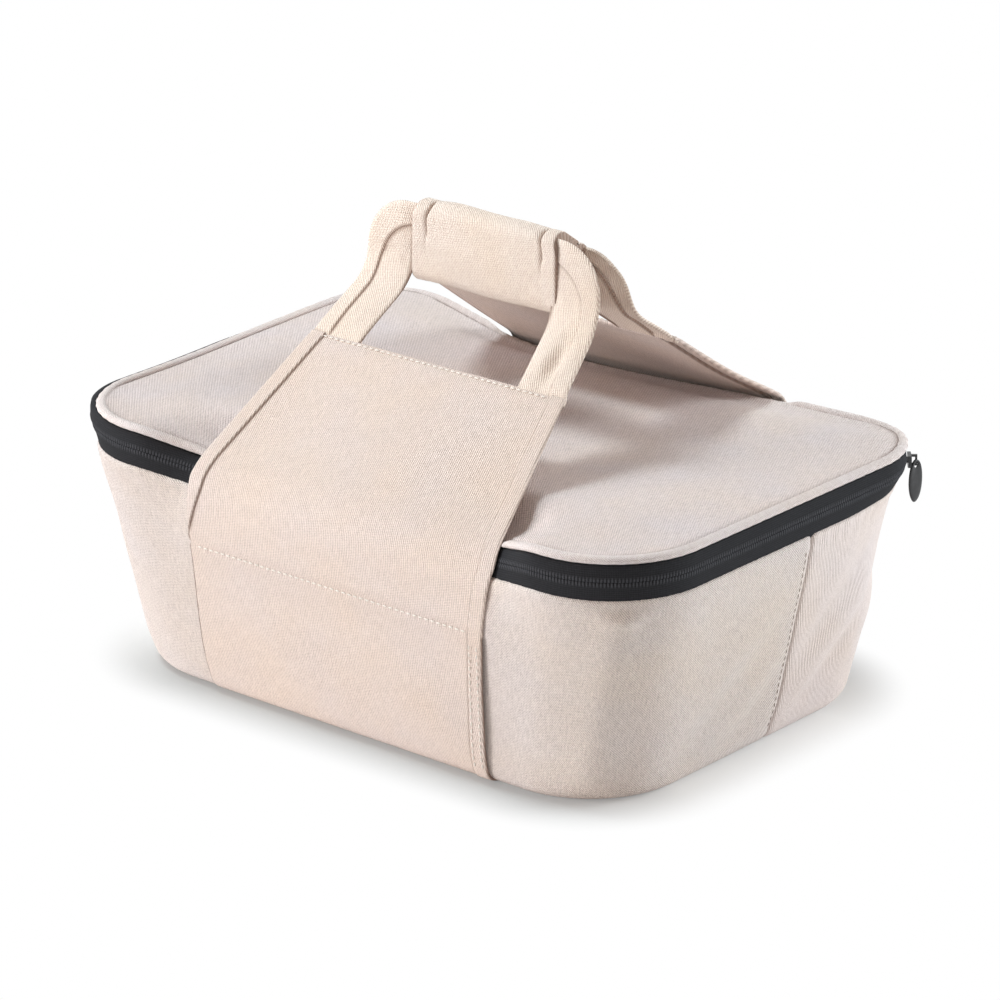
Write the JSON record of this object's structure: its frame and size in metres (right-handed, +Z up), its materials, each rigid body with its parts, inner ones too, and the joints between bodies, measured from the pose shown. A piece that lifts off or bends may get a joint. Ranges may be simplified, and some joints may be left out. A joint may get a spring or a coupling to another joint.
{
  "type": "insulated casserole carrier",
  "caption": "Soft insulated carrier for a covered baking dish: tapered canvas box, zipped lid hinged at the back, and front and back handle panels that join in a wrapped grip.",
  "frame": {"origin": "middle of the base, on the surface it stands on", "axes": "+X along the long side, -Y to the front panel, +Z up"},
  "size_m": [0.42, 0.288, 0.274],
  "materials": {
    "canvas": "fine twill canvas, blush beige",
    "panel_canvas": "fine twill canvas, warm blush",
    "foam": "closed-cell insulating foam",
    "lining": "wipe-clean foil lining",
    "board": "plain stiffener board",
    "zip_tape": "charcoal woven tape",
    "zip_teeth": "black coil",
    "zip_metal": "black enamel"
  },
  "bodies": {
    "body": {"base_panel": "canvas", "base_board": "board", "base_foam": "foam", "base_lining": "lining", "front_wall": "canvas", "back_wall": "canvas", "front_wall_foam": "foam", "back_wall_foam": "foam", "wall_lining": "lining", "rim_binding": "zip_tape", "lower_zip_tape": "zip_tape", "lower_zip_teeth": "zip_teeth", "hinge_strip_lower": "zip_tape", "front_panel_base": "panel_canvas", "back_panel_base": "panel_canvas"},
    "lid": {"lid_top": "canvas", "lid_foam": "foam", "lid_lining": "lining", "lid_edge_roll": "canvas", "upper_zip_tape": "zip_tape", "upper_zip_teeth": "zip_teeth", "hinge_strip_upper": "zip_tape"},
    "front_handle": {"front_handle_panel": "panel_canvas", "grip_wrap": "panel_canvas", "grip_foam": "foam", "hook_tape": "zip_tape"},
    "back_handle": {"back_handle_panel": "panel_canvas", "back_grip_wrap": "panel_canvas", "back_grip_foam": "foam", "loop_tape": "zip_tape"},
    "slider": {"zip_slider": "zip_metal"},
    "pull": {"zip_pull": "zip_metal"}
  },
  "joints": [
    {"name": "lid_hinge", "type": "hinge", "parent": "body", "child": "lid", "pos_m": [0, 0.144, 0.1395], "axis": [-1, 0, 0], "range_deg": [0, 60]},
    {"name": "front_handle_fold", "type": "hinge", "parent": "body", "child": "front_handle", "pos_m": [0, -0.142, 0.092], "axis": [1, 0, 0], "range_deg": [0, 150]},
    {"name": "back_handle_fold", "type": "hinge", "parent": "body", "child": "back_handle", "pos_m": [0, 0.142, 0.092], "axis": [-1, 0, 0], "range_deg": [0, 150]},
    {"name": "zip_slider_travel", "type": "hinge", "parent": "body", "child": "slider", "pos_m": [0.15, 0.084, 0.1395], "axis": [0, 0, 1], "range_deg": [-40, 0]},
    {"name": "zip_pull_swing", "type": "hinge", "parent": "slider", "child": "pull", "pos_m": [0.19826, 0.1245, 0.1395], "axis": [0.6428, -0.766, 0], "range_deg": [0, 110]}
  ],
  "couplings": [
    {"joint": "front_handle_fold", "follows": "lid_hinge", "ratio": 2.5},
    {"joint": "back_handle_fold", "follows": "lid_hinge", "ratio": 2.5}
  ]
}
